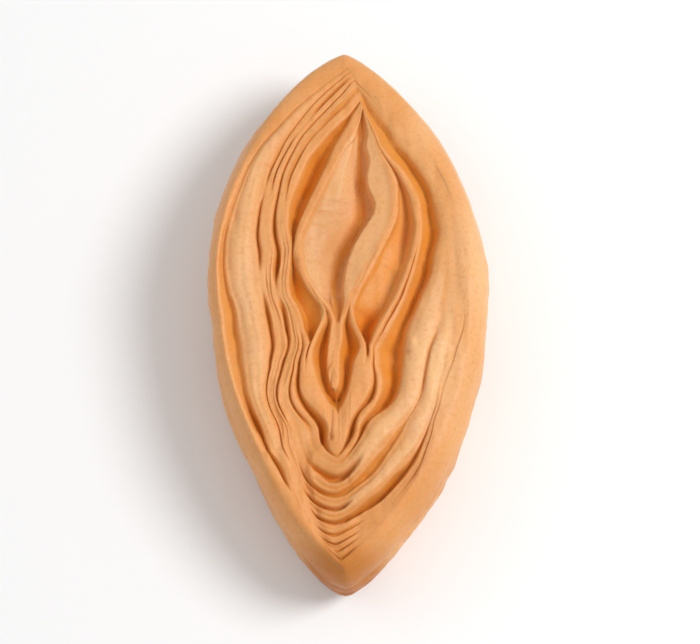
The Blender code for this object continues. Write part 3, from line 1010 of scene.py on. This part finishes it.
def wrap_row(part_down, rim, spots):
    """One row round the bulging side."""
    top = free_level(0, rim) - rim_drop(rim)
    height = blended(top, LOWER_RIM, part_down)
    solid = np.column_stack((rim, height))
    along_wrap = solid * WRAP_SHAPE
    swell = waves(solid, WRAP_SWELL) + sum(waves(solid, wave, WRAP_BUMPS) for wave in BUMPS)
    swell += waves(along_wrap, WRAP_GRAIN) + blisters(solid, spots, WRAP_BLISTERS) - WRAP_BACK
    back, shown = creases_at(rim, height)
    flat, rounded = BULGE_POWERS
    from_rims = hump(part_down)
    out = SIDE_BULGE * (1.0 - abs(2.0 * part_down - 1.0) ** flat) ** rounded
    out = out + swell * from_rims - back * min(1.0, CREASE_RIM_FADE * from_rims)
    place = rim + outward(rim) * out[:, None]
    # the creases are coloured like grooves as painted shade; the pale streaks leave them out
    pale = np.clip(waves(along_wrap, PALE_STREAKS), 0.0, PALE_STREAKS.size) * (1.0 - shown)
    # painted highlights from the patches
    return Row(place, height, CREASE_SHADE[1] * shown, np.maximum(pale, in_patches(place, PAINTED_HIGHLIGHT_PATCHES)))


def wrap_rows(curves):
    """Rows down the bulging side and round the lower rim to the flat underside."""
    rim = curves[0]
    spots = wrap_spots(rim, WRAP_BLISTERS)
    rows = [wrap_row(part_down, rim, spots) for part_down in crowded_parts(*WRAP_ROWS)[1:]]
    width, share = LOWER_RIM_INSET
    inset = np.minimum(width, share * gap_width(rim, curves[1]))
    plain = np.zeros(len(rim))
    for step in range(1, LOWER_RIM_ROWS + 1):
        part = step / LOWER_RIM_ROWS
        place = rim - outward(rim) * (inset * part)[:, None]
        rows.append(Row(place, plain + LOWER_RIM * (1.0 - part) ** RIM_POWER, plain, plain))
    return rows


def lower_rows(curves, seam):
    """Rows over the underside, where the folds' edges are pressed flat, down to its own fold line."""
    rows = []
    depth, half = UNDER_LINE
    for gap in range(1, LAST_FOLD + 1):
        outer, inner = curves[gap], curves[gap + 1]
        for part in crowded_parts(UNDER_ROWS[gap], UNDER_CROWDING)[:-1]:
            drop = drop_across(gap, part, outer, inner) - UNDER_FLAT
            line = depth * bell((part - 0.5) * gap_width(outer, inner), half) * (gap < LAST_FOLD)
            line *= uneven_strength(outer, UNDER_LINE_CHANGES, gap)
            drop = np.maximum(drop, line)
            pale = paleness_across(gap, part, outer, inner)
            rows.append(Row(blended(outer, inner, part), UNDER_DEPTH * drop, drop, pale))
    fold_line = curves[-1][: SIDE_POINTS + 1]
    height = UNDER_DEPTH * np.maximum(seam.depth - UNDER_FLAT, 0.0)
    rows.append(Row(fold_line, height, seam.depth, seam.paleness))
    return rows


def line_order(count):
    """Which point of a fold line each point of the loop round it meets."""
    corner = np.arange(count)
    return np.minimum(corner, count - corner)


def grid_of(rows):
    """Points of all rows, row by row. Rows of a fold line are laid out on both its sides."""
    count = max(len(row.place) for row in rows)
    grid = np.zeros((len(rows), count, 3))
    for number, row in enumerate(rows):
        points = np.column_stack((row.place, row.height))
        grid[number] = points[line_order(count)] if len(points) < count else points
    return grid


def grid_normals(grid):
    """Outward directions at all points, the same on both sides of a fold line."""
    along = np.roll(grid, -1, axis=1) - np.roll(grid, 1, axis=1)
    normals = np.cross(along, np.gradient(grid, axis=0))
    normals /= np.maximum(np.linalg.norm(normals, axis=2, keepdims=True), TINY)
    for row in (0, -1):
        mirrored = np.roll(normals[row][::-1], 1, axis=0)
        normals[row] = 0.5 * (normals[row] + mirrored)
    return normals


def faces_between(rows):
    """Faces from each row to the next. Those that end in a turn of a fold line are triangles."""
    count = max(len(row.place) for row in rows)
    starts = np.cumsum([0] + [len(row.place) for row in rows])
    corner = np.arange(count)
    following = (corner + 1) % count
    orders = [corner if len(row.place) == count else line_order(count) for row in rows]
    faces = []
    for row in range(len(rows) - 1):
        near = starts[row] + orders[row]
        far = starts[row + 1] + orders[row + 1]
        faces.append(np.column_stack((near[corner], near[following], far[following], far[corner])))
    return [tuple(dict.fromkeys(face)) for face in np.vstack(faces).tolist()]


def add_object(name, data):
    """A new object in the scene."""
    thing = bpy.data.objects.new(name, data)
    bpy.context.scene.collection.objects.link(thing)
    return thing


def skin(name, rows, normals):
    """A mesh object over rows of points, with their depth, paleness with painted highlights, and darkening
    by frying and painted shade for the material.
    """
    vertices = np.vstack([np.column_stack((row.place, row.height)) for row in rows]) * MM
    mesh = bpy.data.meshes.new(name)
    mesh.from_pydata(vertices, [], faces_between(rows))
    for label, values in (
        ("fold_depth", [row.depth for row in rows]),
        ("paleness", [row.paleness for row in rows]),
        ("toast_and_shade", [toast_and_shade_at(row.place, row.height) for row in rows]),
    ):
        layer = mesh.attributes.new(label, "FLOAT", "POINT")
        layer.data.foreach_set("value", np.concatenate(values).astype(np.float32))
    mesh.shade_smooth()
    directions = [normal[: len(row.place)] for row, normal in zip(rows, normals)]
    mesh.normals_split_custom_set_from_vertices(np.vstack(directions))
    return add_object(name, mesh)


def set_inputs(node, values):
    for name, value in values.items():
        node.inputs[name].default_value = value


def crust_material():
    """Fried dough soaked in syrup: peach-tan edges, pale broad faces, saturated orange in the grooves."""
    material = bpy.data.materials.new("fried_crust")
    material.use_nodes = True
    nodes = material.node_tree.nodes
    links = material.node_tree.links
    shader = nodes["Principled BSDF"]
    place = nodes.new("ShaderNodeTexCoord").outputs["Object"]

    def attribute(name):
        node = nodes.new("ShaderNodeAttribute")
        node.attribute_name = name
        return node.outputs["Fac"]

    def remap(value, low, high, to_low, to_high):
        node = nodes.new("ShaderNodeMapRange")
        set_inputs(node, {"From Min": low, "From Max": high, "To Min": to_low, "To Max": to_high})
        links.new(value, node.inputs["Value"])
        return node.outputs["Result"]

    def noise(scale, detail=3.0, roughness=0.55):
        node = nodes.new("ShaderNodeTexNoise")
        set_inputs(node, {"Scale": scale, "Detail": detail, "Roughness": roughness})
        links.new(place, node.inputs["Vector"])
        return node.outputs["Fac"]

    def mix(factor, first, second):
        node = nodes.new("ShaderNodeMix")
        node.data_type = "RGBA"
        links.new(factor, node.inputs["Factor"])
        for socket, value in ((node.inputs["A"], first), (node.inputs["B"], second)):
            if isinstance(value, tuple):
                socket.default_value = value
            else:
                links.new(value, socket)
        return node.outputs["Result"]

    def colour_by_depth():
        ramp = nodes.new("ShaderNodeValToRGB")
        ramp.color_ramp.interpolation = "EASE"
        ends = (DEPTH_COLOURS[0], DEPTH_COLOURS[-1])
        for element, (position, colour) in zip(ramp.color_ramp.elements, ends):
            element.position = position
            element.color = colour
        for position, colour in DEPTH_COLOURS[1:-1]:
            ramp.color_ramp.elements.new(position).color = colour
        links.new(remap(attribute("fold_depth"), 0.0, FULL_DEPTH, 0.0, 1.0), ramp.inputs["Fac"])
        return ramp.outputs["Color"]

    mottled = mix(remap(noise(MOTTLE_SCALE), *MOTTLE_RANGE), colour_by_depth(), MOTTLE_COLOUR)
    # paleness: pale faces and streaks, and painted highlights
    tone = mix(attribute("paleness"), mottled, mix(noise(PALE_SCALE), *PALE_COLOURS))
    # darker where fried more, and painted shade at the lower tip and over the eye's sheet
    toasted_and_shaded = mix(attribute("toast_and_shade"), tone, TOAST_AND_SHADE_COLOUR)
    specked = mix(remap(noise(SPECK_SCALE, detail=2.0), *SPECK_RANGE), toasted_and_shaded, SPECK_COLOUR)
    links.new(specked, shader.inputs["Base Color"])

    bump = nodes.new("ShaderNodeBump")
    set_inputs(bump, PORE_BUMP)
    links.new(noise(PORE_SCALE, detail=5.0, roughness=0.6), bump.inputs["Height"])
    links.new(bump.outputs["Normal"], shader.inputs["Normal"])

    links.new(remap(noise(GLOSS_SCALE), *GLOSS_RANGE), shader.inputs["Roughness"])
    set_inputs(shader, CRUST)
    return material


def build_kaja():
    """One closed skin from the underside round the wrap to the eye, cut into four meshes."""
    curves = fold_curves()
    levels = edge_levels(curves)
    upper = upper_rows(curves, levels)
    seam = seam_row(curves, levels)
    wrap = wrap_rows(curves)[::-1]
    under = lower_rows(curves, seam)[::-1]
    rows = under + wrap + upper + [seam]
    normals = grid_normals(grid_of(rows))
    outer_layers = sum(ROWS[:FIRST_EYE_GAP])
    cuts = np.cumsum([0, len(under), len(wrap), outer_layers]).tolist() + [len(rows) - 1]
    material = crust_material()
    names = ("kaja_underside", "kaja_wrap", "kaja_outer_layers", "kaja_eye")
    for name, first, last in zip(names, cuts[:-1], cuts[1:]):
        piece = skin(name, rows[first : last + 1], normals[first : last + 1])
        piece.data.materials.append(material)
        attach(piece, "root")
        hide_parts("kaja")


def build_floor():
    mesh = bpy.data.meshes.new("floor")
    corners = [(x * FLOOR_HALF, y * FLOOR_HALF, 0.0) for x, y in ((-1, -1), (1, -1), (1, 1), (-1, 1))]
    mesh.from_pydata(corners, [], [(0, 1, 2, 3)])
    material = bpy.data.materials.new("floor")
    material.use_nodes = True
    set_inputs(material.node_tree.nodes["Principled BSDF"], FLOOR)
    mesh.materials.append(material)
    add_object("floor", mesh)


def add_soft_light(lamp):
    """A round lamp that points at the piece."""
    light = bpy.data.lights.new(lamp.name, "AREA")
    light.shape = "DISK"
    light.size = lamp.size
    light.energy = lamp.power
    holder = add_object(lamp.name, light)
    holder.location = lamp.place
    aim = Vector((0.0, 0.0, MIDDLE_HEIGHT)) - Vector(lamp.place)
    holder.rotation_euler = aim.to_track_quat("-Z", "Y").to_euler()


def build_lights():
    world = bpy.data.worlds.new("studio")
    world.use_nodes = True
    set_inputs(world.node_tree.nodes["Background"], SKY)
    bpy.context.scene.world = world
    for lamp in LAMPS:
        add_soft_light(lamp)


def build_camera():
    """Looks down on the piece from beyond its lower tip."""
    elevation = math.radians(ELEVATION)
    direction = Vector((0.0, -math.cos(elevation), math.sin(elevation)))
    across = Vector((0.0, 1.0, 0.0)).cross(direction).normalized()
    upward = direction.cross(across)
    camera = bpy.data.cameras.new("camera")
    camera.lens = LENS
    holder = add_object("camera", camera)
    rotation = Matrix((across, upward, direction)).transposed().to_4x4()
    holder.matrix_world = Matrix.Translation(Vector(TARGET) + direction * DISTANCE) @ rotation
    bpy.context.scene.camera = holder


build_floor()
build_lights()
build_camera()
build_kaja()

bpy.context.scene.view_settings.view_transform = "Standard"
